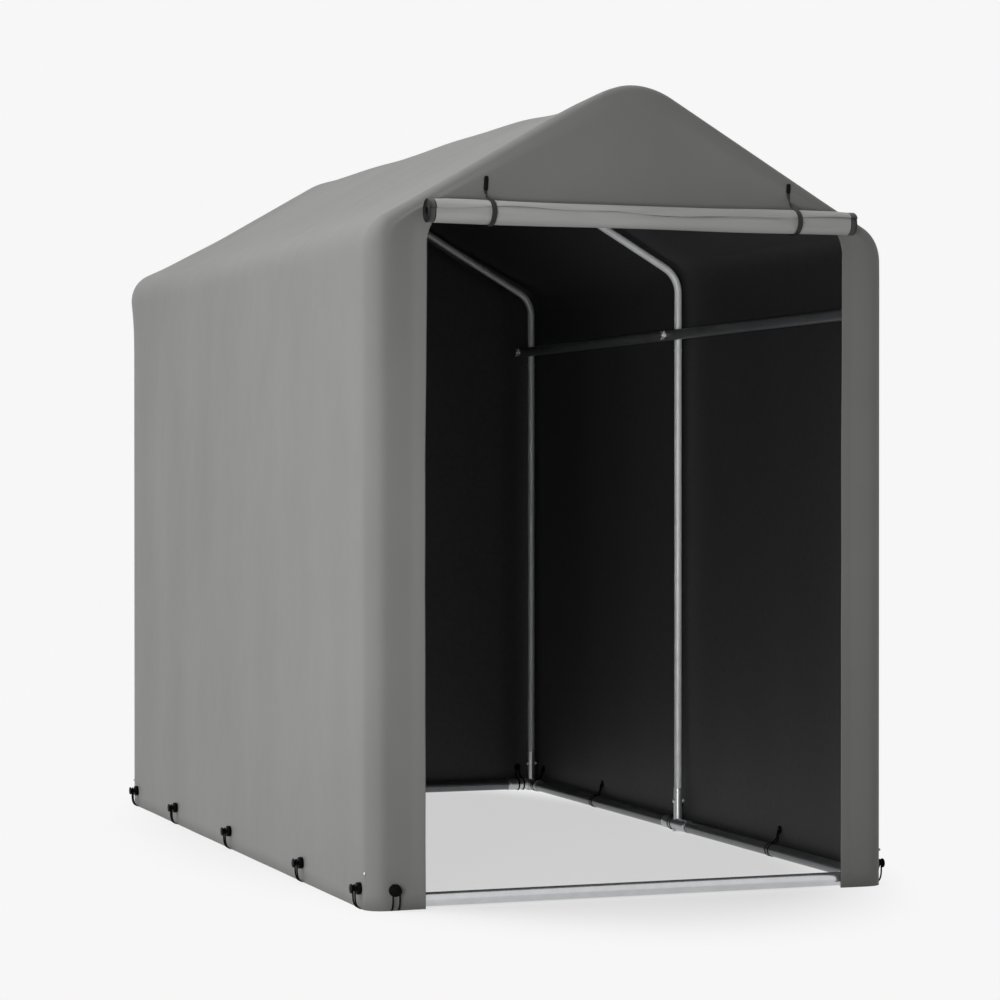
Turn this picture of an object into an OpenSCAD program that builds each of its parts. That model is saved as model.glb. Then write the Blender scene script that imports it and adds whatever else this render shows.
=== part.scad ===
// Bike shelter: three steel tube arches on round ground rails, under a fitted cover
// whose door is rolled up above the doorway.
// Millimetres. +Z is up, the doorway faces -Y, and the ground is z = 0.

/* [Cover] */
// Width over the cover
cover_w = 1375; // [1150:1:1650]
// Depth over the cover, front face to back face
cover_d = 2540; // [2100:1:3050]
// Height at which the wall and roof faces would meet
eave_h = 1645; // [1500:1:1980]
// Slope of the roof above level, in degrees
roof_pitch = 30.2; // [24:0.1:36]
// Thickness of the cover
cover_t = 3; // [2:0.5:4]
// Outer radius of the cover round the vertical and gable edges
edge_r = 45; // [42:1:60]
// Outer radius of the cover over the eaves
eave_r = 100; // [80:1:130]
// Outer radius of the cover over the ridge
ridge_r = 215; // [150:1:300]
// Height of the hem above the underside of the ground rails
hem_gap = 0.5; // [0.5:0.5:4]

/* [Doorway] */
// Width of cover to the left of the doorway, from the outside of the left wall
left_flap_w = 145; // [115:1:200]
// Width of cover to the right of the doorway, from the outside of the right wall
right_flap_w = 124; // [115:1:200]
// Distance from the eaves up to the top of the doorway
door_rise = 55; // [30:1:60]
// Radius of the doorway's upper corners
door_corner_r = 100; // [60:1:160]

/* [Rolled door] */
// Diameter of the rolled door
roll_d = 57; // [45:1:70]
// How much longer the rolled door is than the doorway's width
roll_overhang = 24; // [10:1:60]
// Sideways offset of the roll from the middle of the doorway
roll_shift = 3.5; // [0:0.5:8]
// Distance from the top of the doorway down to the roll's centre line
roll_drop = 25; // [5:1:28]
// Width of the straps that hold the roll
strap_w = 14; // [10:1:30]
// Thickness of the straps
strap_t = 2; // [1:0.5:3]
// Distance of each strap from its end of the roll
strap_inset = 171; // [100:1:250]
// Length of strap above the roll
strap_tail = 70; // [40:1:90]

/* [Tubes] */
// Outer diameter of the ground rails
rail_d = 34; // [26:1:36]
// Outer diameter of the arch tubes
arch_d = 22; // [18:1:25]
// Outer diameter of the side and ridge rails
side_rail_d = 30; // [22:1:34]
// Wall of every tube
tube_wall = 1; // [0.8:0.1:1.6]
// Bend of each arch at the eaves, to the centre of the tube
arch_bend_r = 85; // [60:1:100]
// Direction in which the corner uprights are pushed into the cover's corners, from X
corner_angle = 38; // [30:1:55]
// Clearance between the corner fittings and the cover
corner_gap = 0.7; // [0.5:0.1:3]
// Distance from the eaves down to the joint in each upright
joint_drop = 229; // [205:1:300]
// Distance from the eaves down to the side rails' centre lines
side_rail_drop = 188; // [150:1:188]
// Length of the spigot inside each joint
spigot_len = 40; // [25:1:60]
// Width of the raised ring at each joint
ring_w = 4; // [3:1:10]
// Clearance between the ends of the side and ridge rails and the cover
rail_end_gap = 8; // [6:1:20]

/* [Base fittings] */
// Wall of the fittings
fitting_wall = 1.2; // [1:0.1:2]
// Clearance all round between a fitting and its tube
fit_gap = 0.3; // [0.2:0.05:0.5]
// Reach of the sleeves along the rails, from the upright's centre
sleeve_reach = 85; // [70:1:120]
// Height of the upright's sleeve above the ground
socket_h = 127; // [100:1:160]
// Diameter of the round foot under each fitting
foot_d = 32; // [24:1:34]
// Height of the feet, which lets the ties pass under the fittings
foot_h = 1.5; // [1:0.5:4]
// Distance from the upright's centre to the end of each rail
rail_stop = 30; // [24:1:40]

/* [Ties] */
// Diameter of a tie's button where it lies against the cover
button_d = 30; // [22:1:36]
// Diameter of the button's cap
button_cap_d = 23; // [18:1:34]
// Diameter of the button's neck, which the loop goes round
button_neck_d = 13; // [8:1:16]
// Height of a tie's button off the cover
button_h = 27; // [22:1:32]
// Thickness of the button's base
button_base_t = 11; // [6:0.5:12]
// Thickness of the button's cap
button_cap_t = 5; // [3:0.5:7]
// Height of the buttons' centres above the ground
tie_h = 50; // [44:1:65]
// Width of one strand of the loop
loop_w = 4.5; // [2:0.5:6]
// Distance from the back face to the last tie on each wall
last_tie = 87; // [70:1:120]
// Clearance between a fitting and the tie nearest to it on the left or right wall
tie_gap = 1.5; // [1:0.5:10]
// Clearance between a corner fitting and the tie nearest to it on the front or back
cross_tie_gap = 9.5; // [1:0.5:20]

/* [Wing bolts] */
// Diameter of the wing bolts
bolt_d = 6; // [5:1:8]
// Span of a wing nut's wings
wing_span = 34; // [26:1:40]
// Width of the wings, along the bolt
wing_w = 9; // [6:1:12]
// Thickness of the wings
wing_t = 2.5; // [1.5:0.5:4]

/* [Hidden] */
$fn = 48;
bend_fn = 96;
// How far a cutting shape runs past the face it cuts
cut = 1;

// Frame: fittings, rails and the corner uprights, which are set as far into the rounded
// corners of the cover as their fittings allow
fitting_r = rail_d / 2 + fit_gap + fitting_wall;
socket_r = arch_d / 2 + fit_gap + fitting_wall;
rail_z = foot_h + fitting_r;
corner_reach = edge_r - cover_t - corner_gap - fitting_r;
side_inset = edge_r - corner_reach * cos(corner_angle);
end_inset = edge_r - corner_reach * sin(corner_angle);
upright_foot = rail_z + rail_d / 2 + fit_gap;

// Cover: the front and back faces, set so that the whole shelter is centred
hem_h = rail_z - rail_d / 2 + hem_gap;
roll_gap = strap_t;
front_reach = roll_gap + roll_d + strap_t;
front_y = (front_reach - button_h - cover_d) / 2;
back_y = front_y + cover_d;
half_w = cover_w / 2;
eave_turn = 90 - roof_pitch;
wall_top = eave_h - eave_r * tan(eave_turn / 2);
peak_h = eave_h + half_w * tan(roof_pitch);
ridge_centre_h = peak_h - ridge_r / cos(roof_pitch);
eave_x = half_w - eave_r;
slope_start = [eave_x + eave_r * sin(roof_pitch), wall_top + eave_r * cos(roof_pitch)];
slope_end = [ridge_r * sin(roof_pitch), ridge_centre_h + ridge_r * cos(roof_pitch)];
slope_len = norm(slope_end - slope_start);
door_h = eave_h + door_rise;
door_left = -half_w + left_flap_w;
door_right = half_w - right_flap_w;
gable_foot = min(door_h - door_corner_r, wall_top);

// Rolled door and its straps
roll_len = door_right - door_left + roll_overhang;
roll_x = (door_left + door_right) / 2 + roll_shift;
roll_h = door_h - roll_drop;

// Frame: the centre lines of the arches and rails
frame_x = half_w - side_inset;
front_arch_y = front_y + end_inset;
back_arch_y = back_y - end_inset;
middle_arch_y = (front_arch_y + back_arch_y) / 2;
arch_ys = [front_arch_y, middle_arch_y, back_arch_y];
arch_eave_h = eave_h - side_inset * tan(eave_turn / 2);
arch_wall_top = arch_eave_h - arch_bend_r * tan(eave_turn / 2);
arch_eave_x = frame_x - arch_bend_r;
arch_peak_h = arch_eave_h + frame_x * tan(roof_pitch);
crown_r = ridge_r - side_inset;
crown_centre_h = arch_peak_h - crown_r / cos(roof_pitch);
rafter_foot = [arch_eave_x + arch_bend_r * sin(roof_pitch),
               arch_wall_top + arch_bend_r * cos(roof_pitch)];
rafter_end = [crown_r * sin(roof_pitch), crown_centre_h + crown_r * cos(roof_pitch)];
rafter_len = norm(rafter_end - rafter_foot);
joint_h = eave_h - joint_drop;
side_rail_h = eave_h - side_rail_drop;
side_rail_x = frame_x - arch_d / 2 - side_rail_d / 2;
side_rail_over = end_inset - cover_t - rail_end_gap;
socket_overrun = 3 * fitting_wall;
ridge_rail_z = crown_centre_h + crown_r - socket_r - side_rail_d / 2;

// Ties: thickness of the loops, and the distance of each tie from the front face
loop_t = foot_h;
strand_y = (button_neck_d + loop_w) / 2;
tie_half_w = strand_y + loop_w / 2;
first_tie = end_inset + fitting_r + tie_half_w + tie_gap;
middle_tie = (cover_d + foot_d) / 2 + tie_half_w + tie_gap;
corner_tie = side_inset + fitting_r + tie_half_w + cross_tie_gap;
left_ties = [first_tie, 0.224 * cover_d, middle_tie, 0.761 * cover_d, cover_d - last_tie];
right_ties = [first_tie, 0.244 * cover_d, middle_tie, 0.759 * cover_d, cover_d - last_tie];
back_ties = [-half_w + corner_tie, 0, half_w - corner_tie];
steel = "Silver";
plated = "Gainsboro";
grey_cloth = "DimGray";
black_rubber = [0.08, 0.08, 0.08];

// Straight tube along +Z
module tube(d, len, wall = tube_wall) {
    difference() {
        cylinder(d = d, h = len);
        translate([0, 0, -cut]) cylinder(d = d - 2 * wall, h = len + 2 * cut);
    }
}

// Tube bent round the Y axis from angle a to angle b above +X, about [0, 0, 0]
module bent_tube(d, bend_r, a, b, wall = tube_wall) {
    rotate([90, 0, 0]) rotate([0, 0, a])
        rotate_extrude(angle = b - a, $fn = bend_fn) translate([bend_r, 0]) difference() {
            circle(d = d);
            circle(d = d - 2 * wall);
        }
}

// Turns a shape that stands along +Z to lie along +Y
module along_y() {
    rotate([-90, 0, 0]) children();
}

// Turns a shape that stands along +Z to lie along +X
module along_x() {
    rotate([0, 90, 0]) children();
}

// A copy on each side of the shelter
module both_sides() {
    children();
    mirror([1, 0, 0]) children();
}

// Ground rail across the front or back, between its corner fittings
module cross_rail(y) {
    color(steel) translate([-frame_x + rail_stop, y, rail_z])
        along_x() tube(rail_d, 2 * (frame_x - rail_stop));
}

// The two ground rails along one side, with the middle fitting between them
module side_ground_rails(side) {
    len = middle_arch_y - front_arch_y - 2 * rail_stop;
    color(steel) for (y = [front_arch_y, middle_arch_y])
        translate([side * frame_x, y + rail_stop, rail_z]) along_y() tube(rail_d, len);
}

// Base fitting: sleeves along the rails and a socket for the upright, drawn at the
// origin with the ground at z = 0. along is the direction of the Y sleeve, or 0 for
// both; across is the direction of the X sleeve, or 0 for none. It stands on a round foot.
module base_fitting(along, across) {
    bore_r = rail_d / 2 + fit_gap;
    y_lo = along > 0 ? 0 : -sleeve_reach;
    y_hi = along < 0 ? 0 : sleeve_reach;
    color(plated) difference() {
        union() {
            translate([0, y_lo, rail_z]) along_y() cylinder(r = fitting_r, h = y_hi - y_lo);
            if (across != 0) {
                translate([0, 0, rail_z]) rotate([0, 90 * across, 0])
                    cylinder(r = fitting_r, h = sleeve_reach);
                translate([0, 0, rail_z]) sphere(r = fitting_r);
            }
            translate([0, 0, rail_z]) cylinder(r = socket_r, h = socket_h - rail_z);
            cylinder(d = foot_d, h = rail_z);
        }
        if (along >= 0)
            translate([0, rail_stop, rail_z]) along_y() cylinder(r = bore_r, h = sleeve_reach);
        if (along <= 0)
            translate([0, -rail_stop, rail_z]) rotate([90, 0, 0])
                cylinder(r = bore_r, h = sleeve_reach);
        if (across != 0)
            translate([across * rail_stop, 0, rail_z]) rotate([0, 90 * across, 0])
                cylinder(r = bore_r, h = sleeve_reach);
        translate([0, 0, upright_foot]) cylinder(r = arch_d / 2 + fit_gap, h = socket_h);
    }
}

module placed_fitting(side, y, along, across) {
    translate([side * frame_x, y, 0]) base_fitting(along, across);
}

// Lower part of an arch leg, from its base fitting to the joint, with a raised ring
module upright(side, y) {
    color(steel) translate([side * frame_x, y, 0]) {
        translate([0, 0, upright_foot]) tube(arch_d, joint_h - upright_foot);
        translate([0, 0, joint_h - ring_w]) tube(arch_d + 2 * tube_wall, ring_w);
    }
}

// Straight stretch of a rafter up from the joint, with the end below it drawn in to
// a spigot that slides into the upright
module swaged_leg() {
    leg_r = arch_d / 2;
    spigot_r = leg_r - tube_wall - fit_gap;
    leg = arch_wall_top - joint_h;
    rotate_extrude()
        polygon([[spigot_r - tube_wall, -spigot_len], [spigot_r, -spigot_len], [spigot_r, 0],
                 [leg_r, 0], [leg_r, leg], [leg_r - tube_wall, leg],
                 [leg_r - tube_wall, tube_wall], [spigot_r - tube_wall, tube_wall]]);
}

// Upper part of an arch leg: from the joint round the eave and up to the crown. It is
// drawn from the foot of its slope, with the eave's bend and the leg below that.
module rafter(side, y) {
    leg = arch_wall_top - joint_h;
    color(steel) translate([0, y, 0]) mirror([side < 0 ? 1 : 0, 0, 0])
        translate([rafter_foot[0], 0, rafter_foot[1]]) rotate([0, -eave_turn, 0]) {
            tube(arch_d, rafter_len);
            translate([-arch_bend_r, 0, 0]) {
                bent_tube(arch_d, arch_bend_r, -eave_turn, 0);
                rotate([0, eave_turn, 0]) translate([arch_bend_r, 0, -leg]) swaged_leg();
            }
        }
}

// Bent piece over the top of an arch, with a wider socket on each end that runs onto the
// bend a little way
module crown(y) {
    bend_wall = fitting_wall / 2 + fit_gap + tube_wall;
    color(plated) translate([0, y, 0]) {
        translate([0, 0, crown_centre_h])
            bent_tube(2 * socket_r - fitting_wall, crown_r, eave_turn, 180 - eave_turn, bend_wall);
        both_sides()
            translate([rafter_end[0], 0, rafter_end[1]]) rotate([0, -eave_turn, 0])
                translate([0, 0, -spigot_len])
                    tube(2 * socket_r, spigot_len + socket_overrun, fitting_wall);
    }
}

// Long rail bolted inside the three arches
module long_rail(x, z) {
    color(steel) translate([x, front_arch_y - side_rail_over, z])
        along_y() tube(side_rail_d, back_arch_y - front_arch_y + 2 * side_rail_over);
}

// End of a bolt through a rail, with a nut that has crossed wings. It runs along +X, and
// the rail's centre is at the origin.
module wing_bolt() {
    nut_h = bolt_d;
    translate([side_rail_d / 2, 0, 0]) along_x() {
        cylinder(d = bolt_d, h = nut_h / 2 + wing_w + tube_wall);
        cylinder(d = 2 * bolt_d, h = nut_h);
    }
    for (a = [45, 135])
        translate([(side_rail_d + nut_h) / 2, 0, 0]) rotate([a, 0, 0])
            translate([0, -wing_span / 2, -wing_t / 2]) cube([wing_w, wing_span, wing_t]);
}

module all_wing_bolts() {
    color(plated) for (y = arch_ys) {
        both_sides() translate([-side_rail_x, y, side_rail_h]) wing_bolt();
        translate([0, y, ridge_rail_z]) rotate([0, 90, 0]) wing_bolt();
    }
}

// Section of the cover through its depth: outside face at x = 0, cloth on the -x side,
// turned in at the front and the back
module cover_section() {
    translate([-cover_t, front_y + edge_r]) square([cover_t, cover_d - 2 * edge_r]);
    for (end = [[front_y + edge_r, -1], [back_y - edge_r, 1]])
        translate([-edge_r, end[0]]) intersection() {
            difference() {
                circle(r = edge_r, $fn = bend_fn);
                circle(r = edge_r - cover_t, $fn = bend_fn);
            }
            translate([0, end[1] < 0 ? -edge_r - cut : 0]) square(edge_r + cut);
        }
}

// The cover section carried round a bend of outer radius r, from angle a to angle b
module cover_bend(r, a, b) {
    rotate([90, 0, 0]) rotate([0, 0, a])
        rotate_extrude(angle = b - a, $fn = bend_fn) translate([r, 0]) mirror([0, 1])
            cover_section();
}

module side_wall(side) {
    color(grey_cloth) mirror([side < 0 ? 1 : 0, 0, 0])
        translate([half_w, 0, hem_h]) linear_extrude(wall_top - hem_h) cover_section();
}

// One slope of the roof, with the eave's bend below it and half of the ridge above it
module roof(side) {
    color("Gray") mirror([side < 0 ? 1 : 0, 0, 0])
        translate([slope_start[0], 0, slope_start[1]]) rotate([0, -eave_turn, 0]) {
            linear_extrude(slope_len) cover_section();
            translate([-eave_r, 0, 0]) cover_bend(eave_r, -eave_turn, 0);
            translate([-ridge_r, 0, slope_len]) cover_bend(ridge_r, 0, 90 - eave_turn);
        }
}

// Front view of the shelter, drawn in from the cover's outside by the given amount
module house_outline(inset) {
    foot = half_w - inset;
    eave = slope_start - inset * [sin(roof_pitch), cos(roof_pitch)];
    top = slope_end - inset * [sin(roof_pitch), cos(roof_pitch)];
    polygon([[-foot, hem_h], [foot, hem_h], [foot, wall_top], eave, top,
             [-top[0], top[1]], [-eave[0], eave[1]], [-foot, wall_top]]);
    for (s = [-1, 1])
        translate([s * eave_x, wall_top]) circle(r = eave_r - inset, $fn = bend_fn);
    translate([0, ridge_centre_h]) circle(r = ridge_r - inset, $fn = bend_fn);
}

// Doorway with rounded upper corners
module doorway_outline() {
    corner_left = door_left + door_corner_r;
    corner_right = door_right - door_corner_r;
    translate([door_left, 0]) square([door_right - door_left, door_h - door_corner_r]);
    translate([corner_left, 0]) square([corner_right - corner_left, door_h]);
    for (x = [corner_left, corner_right])
        translate([x, door_h - door_corner_r]) circle(r = door_corner_r, $fn = bend_fn);
}

// Stands a flat outline up as a panel whose front face is at y
module panel(y) {
    translate([0, y + cover_t, 0]) rotate([90, 0, 0]) linear_extrude(cover_t) children();
}

module back_panel() {
    color(grey_cloth) panel(back_y - cover_t) house_outline(edge_r);
}

module gable_panel() {
    color(grey_cloth) panel(front_y) difference() {
        house_outline(edge_r);
        doorway_outline();
        translate([-half_w, 0]) square([cover_w, gable_foot]);
    }
}

// Strip of cover beside the doorway, from its edge to where the corner starts to bend
module door_flap(door_edge, corner) {
    color(grey_cloth) panel(front_y) translate([min(door_edge, corner), hem_h])
        square([abs(corner - door_edge), gable_foot - hem_h]);
}

module door_roll() {
    color("DarkGray")
        translate([roll_x - roll_len / 2, front_y - roll_gap - roll_d / 2, roll_h])
            along_x() cylinder(d = roll_d, h = roll_len);
}

// Straps: a band round the roll and a tail sewn to the gable above it
module straps() {
    color(black_rubber) for (s = [-1, 1])
        translate([roll_x + s * (roll_len / 2 - strap_inset) - strap_w / 2, front_y, roll_h]) {
            translate([0, -roll_gap - roll_d / 2, 0]) along_x()
                tube(roll_d + 2 * strap_t, strap_w, strap_t);
            translate([0, -strap_t, 0]) cube([strap_w, strap_t, roll_d / 2 + strap_tail]);
        }
}

// Spool-shaped button with its axis along +X and its base on x = 0
module button() {
    along_x() {
        cylinder(d = button_d, h = button_base_t);
        cylinder(d = button_neck_d, h = button_h);
        translate([0, 0, button_h - button_cap_t]) cylinder(d = button_cap_d, h = button_cap_t);
    }
}

// Elastic loop of one tie: round the button's neck, down the outside of the cover at
// x = 0, under the hem and round the rail or sleeve of radius held_r, whose centre is at
// x = -inset, and back to the inside of the cover
module tie_loop(inset, held_r) {
    foot_z = rail_z - held_r - loop_t;
    neck_x = button_base_t;
    base_foot = tie_h - button_d / 2;
    for (s = [-1, 1])
        translate([0, s * strand_y + loop_w / 2, 0]) rotate([90, 0, 0])
            linear_extrude(loop_w) {
                polygon([[0, foot_z], [loop_t, foot_z], [neck_x + loop_t, base_foot],
                         [neck_x + loop_t, tie_h], [neck_x, tie_h], [neck_x, base_foot],
                         [0, foot_z + loop_t]]);
                translate([-inset, foot_z]) square([inset + loop_t, loop_t]);
                translate([-inset, rail_z]) difference() {
                    circle(r = held_r + loop_t);
                    circle(r = held_r);
                    translate([0, -held_r - loop_t - cut]) square(2 * (held_r + loop_t + cut));
                }
                translate([-inset, rail_z + held_r]) square([inset - cover_t, loop_t]);
            }
    translate([neck_x, 0, tie_h]) along_x() linear_extrude(loop_t) difference() {
        circle(d = button_neck_d + 2 * loop_w);
        circle(d = button_neck_d);
        translate([0, -tie_half_w - cut]) square(2 * (tie_half_w + cut));
    }
}

// What a tie holds at distance d from the front: the middle fitting's or a corner
// fitting's sleeve if it reaches that far, or else the bare rail
function held_r(d) =
    min([for (y = arch_ys) abs(front_y + d - y)]) < sleeve_reach + tie_half_w
        ? fitting_r : rail_d / 2;

// Loops along the left or right wall
module wall_loops(side, distances) {
    for (d = distances) on_wall(side, d) tie_loop(side_inset, held_r(d));
}

// Places a tie's piece on the left or right wall, at distance d from the front face
module on_wall(side, d) {
    mirror([side < 0 ? 1 : 0, 0, 0]) translate([half_w, front_y + d, 0]) children();
}

// Places a tie's piece on the back wall
module on_back(x) {
    translate([x, back_y, 0]) rotate([0, 0, 90]) children();
}

// Places a tie's piece on the left door flap
module on_left_flap() {
    translate([-half_w + corner_tie, front_y, 0]) rotate([0, 0, -90]) children();
}

module left_buttons() {
    color(black_rubber) translate([0, 0, tie_h]) {
        for (d = left_ties) on_wall(-1, d) button();
        on_left_flap() button();
    }
}

module right_buttons() {
    color(black_rubber) translate([0, 0, tie_h]) for (d = right_ties) on_wall(1, d) button();
}

module back_buttons() {
    color(black_rubber) translate([0, 0, tie_h]) for (x = back_ties) on_back(x) button();
}

module left_loops() {
    color(black_rubber) {
        wall_loops(-1, left_ties);
        on_left_flap() tie_loop(end_inset, fitting_r);
    }
}

module right_loops() {
    color(black_rubber) wall_loops(1, right_ties);
}

module back_loops() {
    color(black_rubber) for (x = back_ties)
        on_back(x) tie_loop(end_inset, x == 0 ? rail_d / 2 : fitting_r);
}

cross_rail(front_arch_y);  // front_sill_rail
cross_rail(back_arch_y);  // back_bottom_rail
side_ground_rails(-1);  // left_bottom_rails
side_ground_rails(1);  // right_bottom_rails
placed_fitting(-1, front_arch_y, 1, 1);  // front_left_fitting
placed_fitting(1, front_arch_y, 1, -1);  // front_right_fitting
placed_fitting(-1, back_arch_y, -1, 1);  // back_left_fitting
placed_fitting(1, back_arch_y, -1, -1);  // back_right_fitting
placed_fitting(-1, middle_arch_y, 0, 0);  // middle_left_fitting
placed_fitting(1, middle_arch_y, 0, 0);  // middle_right_fitting
upright(-1, front_arch_y);  // front_left_upright
upright(1, front_arch_y);  // front_right_upright
upright(-1, middle_arch_y);  // middle_left_upright
upright(1, middle_arch_y);  // middle_right_upright
upright(-1, back_arch_y);  // back_left_upright
upright(1, back_arch_y);  // back_right_upright
rafter(-1, front_arch_y);  // front_left_rafter
rafter(1, front_arch_y);  // front_right_rafter
rafter(-1, middle_arch_y);  // middle_left_rafter
rafter(1, middle_arch_y);  // middle_right_rafter
rafter(-1, back_arch_y);  // back_left_rafter
rafter(1, back_arch_y);  // back_right_rafter
crown(front_arch_y);  // front_crown
crown(middle_arch_y);  // middle_crown
crown(back_arch_y);  // back_crown
long_rail(-side_rail_x, side_rail_h);  // left_side_rail
long_rail(side_rail_x, side_rail_h);  // right_side_rail
long_rail(0, ridge_rail_z);  // ridge_rail
all_wing_bolts();  // wing_bolts
side_wall(-1);  // left_wall
side_wall(1);  // right_wall
back_panel();  // back_wall
roof(-1);  // left_roof
roof(1);  // right_roof
gable_panel();  // front_gable
door_flap(door_left, -half_w + edge_r);  // left_door_flap
door_flap(door_right, half_w - edge_r);  // right_door_flap
door_roll();  // rolled_door
straps();  // door_straps
left_buttons();  // left_tie_buttons
right_buttons();  // right_tie_buttons
back_buttons();  // back_tie_buttons
left_loops();  // left_tie_loops
right_loops();  // right_tie_loops
back_loops();  // back_tie_loops
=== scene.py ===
import math

import bpy
import numpy as np
from mathutils import Euler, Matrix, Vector


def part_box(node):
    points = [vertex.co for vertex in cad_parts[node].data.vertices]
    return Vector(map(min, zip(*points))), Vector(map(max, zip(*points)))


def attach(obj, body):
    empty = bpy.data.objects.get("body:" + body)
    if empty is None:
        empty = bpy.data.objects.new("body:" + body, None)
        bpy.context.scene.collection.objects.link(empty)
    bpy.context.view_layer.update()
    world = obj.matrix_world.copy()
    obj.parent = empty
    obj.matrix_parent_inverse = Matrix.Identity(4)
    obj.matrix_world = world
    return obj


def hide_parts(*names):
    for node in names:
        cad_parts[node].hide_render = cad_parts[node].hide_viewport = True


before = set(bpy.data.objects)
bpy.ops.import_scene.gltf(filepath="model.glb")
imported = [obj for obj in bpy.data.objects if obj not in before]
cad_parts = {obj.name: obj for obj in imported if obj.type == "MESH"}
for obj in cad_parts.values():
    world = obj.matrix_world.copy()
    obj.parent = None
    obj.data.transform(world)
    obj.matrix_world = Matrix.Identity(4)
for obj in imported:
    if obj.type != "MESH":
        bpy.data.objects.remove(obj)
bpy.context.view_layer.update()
print("frame loaded:", len(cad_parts), "nodes")


# places taken from the frame

def corners(node):
    low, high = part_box(node)
    return np.array(low), np.array(high)


wallLow, wallHigh = corners("right_wall")
halfWidth, hemZ, wallTop = wallHigh[0], wallLow[2], wallHigh[2]
frontY, backY = wallLow[1], wallHigh[1]
depth = backY - frontY
ridgeTop = corners("left_roof")[1][2]
doorLeft, doorRight = corners("left_door_flap")[1][0], corners("right_door_flap")[0][0]
rollLow, rollHigh = corners("rolled_door")
rollMid, rollRadius = (rollLow + rollHigh) / 2, (rollHigh[2] - rollLow[2]) / 2
archEnds = [corners(part + "_left_upright") for part in ("front", "middle", "back")]
archYs = [(low[1] + high[1]) / 2 for low, high in archEnds]
uprightLow, uprightHigh = corners("middle_right_upright")
archX = (uprightLow[0] + uprightHigh[0]) / 2
railLow, railHigh = corners("front_sill_rail")
railZ, railRadius = (railLow[2] + railHigh[2]) / 2, (railHigh[2] - railLow[2]) / 2
sleeveRadius = railRadius + 0.0015      # of the fittings' sleeves round the rails
sideRailLow, sideRailHigh = corners("right_side_rail")
ridgeRailLow, ridgeRailHigh = corners("ridge_rail")


# nodes and materials

def linear(hexColour):
    # sRGB hex to linear: below 0.04045 divided by 12.92, above it the 2.4 power
    value = np.array([int(hexColour[i:i + 2], 16) for i in (1, 3, 5)]) / 255
    value = np.where(value <= 0.04045, value / 12.92, ((value + 0.055) / 1.055) ** 2.4)
    return (*value.tolist(), 1.0)


def addNode(tree, kind, settings=None, values=None, links=None):
    # a node with its settings, its socket values and the sockets linked into it
    node = tree.nodes.new(kind)
    for key, value in (settings or {}).items():
        setattr(node, key, value)
    for key, value in (values or {}).items():
        node.inputs[key].default_value = value
    for key, source in (links or {}).items():
        tree.links.new(source, node.inputs[key])
    return node


def newMaterial(name, values):
    # a Principled shader with fixed values on its own sockets, and the Object coordinates
    # for its patterns
    material = bpy.data.materials.new(name)
    material.use_nodes = True
    tree = material.node_tree
    tree.nodes.clear()
    shader = addNode(tree, "ShaderNodeBsdfPrincipled", values=values)
    addNode(tree, "ShaderNodeOutputMaterial", links={"Surface": shader.outputs[0]})
    place = addNode(tree, "ShaderNodeTexCoord").outputs["Object"]
    return material, tree, shader, place


def colourSteps(tree, factor, steps):
    # colour ramp with one stop for each (position, hex) pair
    ramp = addNode(tree, "ShaderNodeValToRGB", links={"Fac": factor})
    elements = ramp.color_ramp.elements
    while len(elements) < len(steps):
        elements.new(0.5)
    for element, (position, colour) in zip(elements, steps):
        element.position, element.color = position, linear(colour)
    return ramp.outputs["Color"]


def coatedPolyester(name, light, dark, wrinkle=0.25):
    # PU-coated oxford polyester, woven from 0.4 mm threads and coated on the inside: a matt
    # face with soft mottling, long shallow wrinkles and a slight sheen at grazing angles
    material, tree, shader, place = newMaterial(name, {
        "Roughness": 0.62, "Specular IOR Level": 0.35, "Sheen Weight": 0.12,
        "Sheen Roughness": 0.5})
    mottle = addNode(tree, "ShaderNodeTexNoise", values={
        "Scale": 2.2, "Detail": 3.0, "Roughness": 0.5}, links={"Vector": place})
    tree.links.new(colourSteps(tree, mottle.outputs["Fac"], [(0.3, dark), (0.7, light)]),
                   shader.inputs["Base Color"])
    # the weave is drawn as 2.5 mm threads, because 0.4 mm ones are too fine to show
    weave = addNode(tree, "ShaderNodeTexNoise", values={
        "Scale": 400.0, "Detail": 1.0}, links={"Vector": place})
    fold = addNode(tree, "ShaderNodeTexNoise", values={
        "Scale": 5.0, "Detail": 2.0, "Roughness": 0.45}, links={"Vector": place})
    fine = addNode(tree, "ShaderNodeBump", values={
        "Strength": 0.12, "Distance": 0.0004}, links={"Height": weave.outputs["Fac"]})
    bump = addNode(tree, "ShaderNodeBump", values={
        "Strength": wrinkle, "Distance": 0.02},
        links={"Height": fold.outputs["Fac"], "Normal": fine.outputs["Normal"]})
    tree.links.new(bump.outputs["Normal"], shader.inputs["Normal"])
    return material


def galvanisedSteel(name, light, dark, roughness, metallic=0.5):
    # zinc-coated steel: a pale grey metal whose coat shows faint cloudy patches about
    # 35 mm across, which are also slightly less or more glossy
    material, tree, shader, place = newMaterial(name, {"Metallic": metallic})
    cloud = addNode(tree, "ShaderNodeTexNoise", values={
        "Scale": 28.0, "Detail": 3.0}, links={"Vector": place})
    tree.links.new(colourSteps(tree, cloud.outputs["Fac"], [(0.35, dark), (0.65, light)]),
                   shader.inputs["Base Color"])
    rough = addNode(tree, "ShaderNodeMapRange", values={
        "To Min": roughness - 0.02, "To Max": roughness + 0.03},
        links={"Value": cloud.outputs["Fac"]})
    tree.links.new(rough.outputs["Result"], shader.inputs["Roughness"])
    grain = addNode(tree, "ShaderNodeTexNoise", values={
        "Scale": 60.0, "Detail": 1.0}, links={"Vector": place})
    bump = addNode(tree, "ShaderNodeBump", values={
        "Strength": 0.02, "Distance": 0.0004}, links={"Height": grain.outputs["Fac"]})
    tree.links.new(bump.outputs["Normal"], shader.inputs["Normal"])
    return material


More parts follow.
